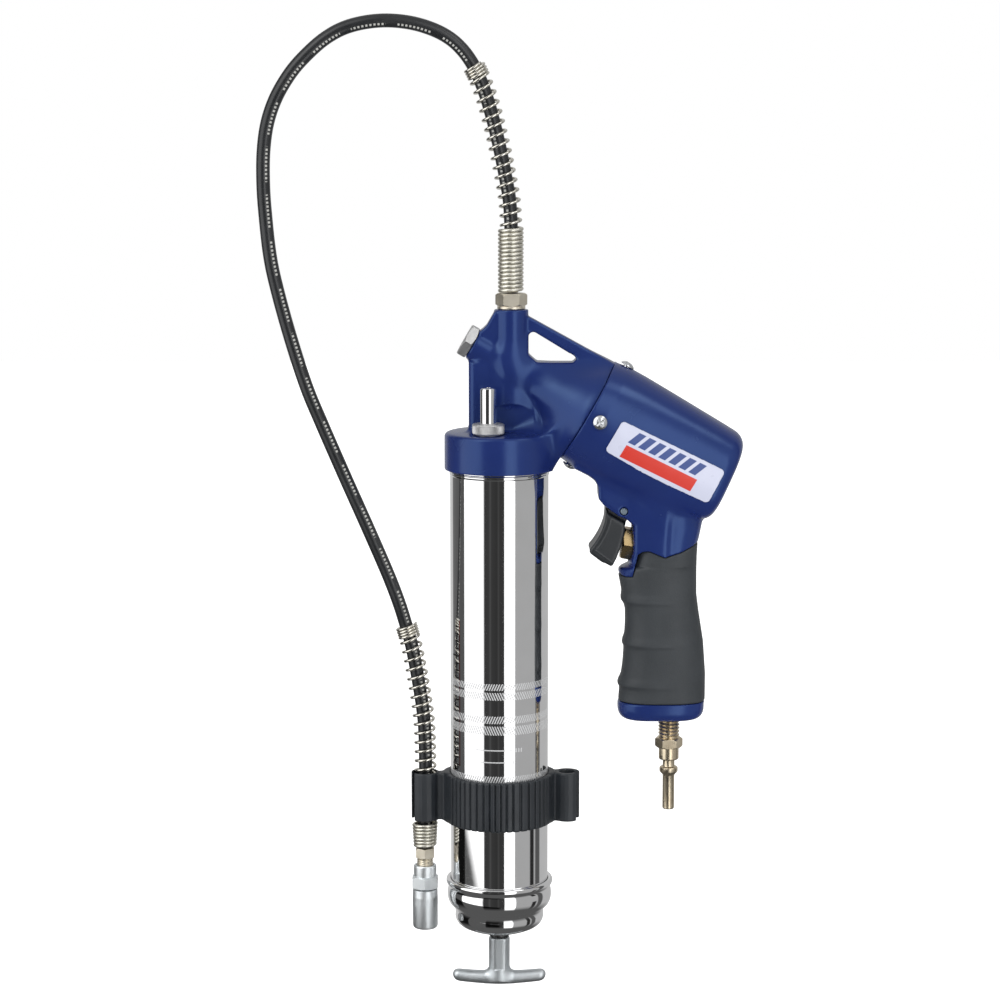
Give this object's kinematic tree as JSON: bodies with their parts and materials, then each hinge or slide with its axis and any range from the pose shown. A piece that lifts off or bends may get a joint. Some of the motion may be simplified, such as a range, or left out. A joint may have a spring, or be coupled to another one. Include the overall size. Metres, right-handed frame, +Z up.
{
  "type": "grease gun",
  "caption": "Air-operated pistol-grip grease gun with a chrome cartridge barrel, a spring-guarded whip hose with a grease coupler, and a T-handled follower rod.",
  "frame": {"origin": "the upper front corner of the hanging hole in the pump head's web, where a hook bears", "axes": "+Z up along the barrel towards the hose arch, +X from the barrel towards the handle, -Y the side with the front name plate"},
  "size_m": [0.2788, 0.0698, 0.5693],
  "materials": {
    "enamel": "deep blue gloss enamel over cast aluminium",
    "zinc_plate": "bright zinc plating, satin",
    "chrome_plate": "bright chrome plating on steel tube and pressings",
    "steel": "turned steel",
    "spring_steel": "plated spring wire",
    "black_rubber": "black rubber, satin",
    "grip_rubber": "dark grey moulded rubber, matt",
    "trigger_plastic": "dark grey moulded plastic",
    "clip_rubber": "dark slate moulded rubber",
    "label_plastic": "plain white plastic name plate",
    "brass": "turned brass with a bright plated skin in places",
    "cast_zinc": "cast zinc alloy, matt"
  },
  "bodies": {
    "gun": {"pump_head": "enamel", "hex_plug": "zinc_plate", "outlet_spring": "spring_steel", "plunger_packing": "black_rubber", "spigot_seal": "black_rubber", "skirt_screw_top": "zinc_plate", "skirt_screw_bottom": "zinc_plate", "skirt_screw_front": "zinc_plate", "skirt_screw_back": "zinc_plate", "bleeder_base": "zinc_plate", "bleeder_spring": "spring_steel", "motor_housing": "enamel", "grip": "grip_rubber", "side_label_left": "label_plastic", "side_label_right": "label_plastic", "trigger_pin": "zinc_plate", "valve_body": "brass", "return_spring": "spring_steel", "air_plug": "brass", "inlet_screen": "steel", "hose": "black_rubber", "upper_coil_guard": "spring_steel", "upper_spring_guard": "spring_steel", "lower_spring_guard": "spring_steel", "lower_coil_guard": "spring_steel", "hose_nut": "brass", "hose_end_fitting": "brass", "coupler_body": "zinc_plate", "coupler_sleeve": "zinc_plate", "coupler_jaws": "steel", "hose_clip": "clip_rubber"},
    "trigger": {"trigger": "trigger_plastic"},
    "valve": {"valve_stem": "steel"},
    "motor_piston": {"air_piston": "steel", "piston_seal": "black_rubber", "plunger_rod": "steel"},
    "check_ball": {"outlet_ball": "steel"},
    "bleeder": {"bleeder_pin": "chrome_plate"},
    "gasket": {"barrel_gasket": "black_rubber"},
    "barrel": {"barrel_tube": "chrome_plate", "end_cap": "chrome_plate", "rod_bushing": "steel", "follower_spring": "spring_steel"},
    "follower": {"follower_plate": "steel", "follower_cup": "black_rubber"},
    "pull_rod": {"follower_rod": "steel", "t_handle": "cast_zinc"}
  },
  "joints": [
    {"name": "trigger_swing", "type": "hinge", "parent": "gun", "child": "trigger", "pos_m": [0.0508, 0, -0.1021], "axis": [0, -1, 0], "range_deg": [0, 6], "stiffness_Nm_per_rad": 3, "springref_deg": -2.86},
    {"name": "valve_slide", "type": "slide", "parent": "gun", "child": "valve", "axis": [0.9848, 0, -0.1736], "range_m": [0, 0.0022]},
    {"name": "piston_stroke", "type": "slide", "parent": "gun", "child": "motor_piston", "axis": [-0.866, 0, 0.5], "range_m": [0, 0.026], "stiffness_N_per_m": 900, "springref_m": -0.012, "deforming": ["return_spring"]},
    {"name": "check_ball_lift", "type": "slide", "parent": "gun", "child": "check_ball", "axis": [-0.866, 0, 0.5], "range_m": [0, 0.0015], "stiffness_N_per_m": 200, "springref_m": -0.004, "deforming": ["outlet_spring"]},
    {"name": "bleeder_press", "type": "slide", "parent": "gun", "child": "bleeder", "axis": [0, 0, -1], "range_m": [0, 0.0028], "stiffness_N_per_m": 400, "springref_m": -0.004, "deforming": ["bleeder_spring"]},
    {"name": "gasket_follow", "type": "slide", "parent": "gun", "child": "gasket", "axis": [0, 0, -1], "range_m": [0, 0.0095]},
    {"name": "barrel_unscrew", "type": "hinge", "parent": "gasket", "child": "barrel", "pos_m": [-0.021, 0, -0.0653], "axis": [0, 0, -1], "range_deg": [0, 1080]},
    {"name": "follower_slide", "type": "slide", "parent": "barrel", "child": "follower", "axis": [0, 0, -1], "range_m": [0, 0.19], "stiffness_N_per_m": 350, "springref_m": -0.12, "deforming": ["follower_spring"]},
    {"name": "rod_turn", "type": "hinge", "parent": "follower", "child": "pull_rod", "pos_m": [-0.021, 0, -0.3604], "axis": [0, 0, 1], "range_deg": [0, 90]}
  ],
  "couplings": [
    {"joint": "valve_slide", "follows": "trigger_swing", "m_per_rad": 0.0183},
    {"joint": "gasket_follow", "follows": "barrel_unscrew", "m_per_rad": 0.00047746}
  ]
}
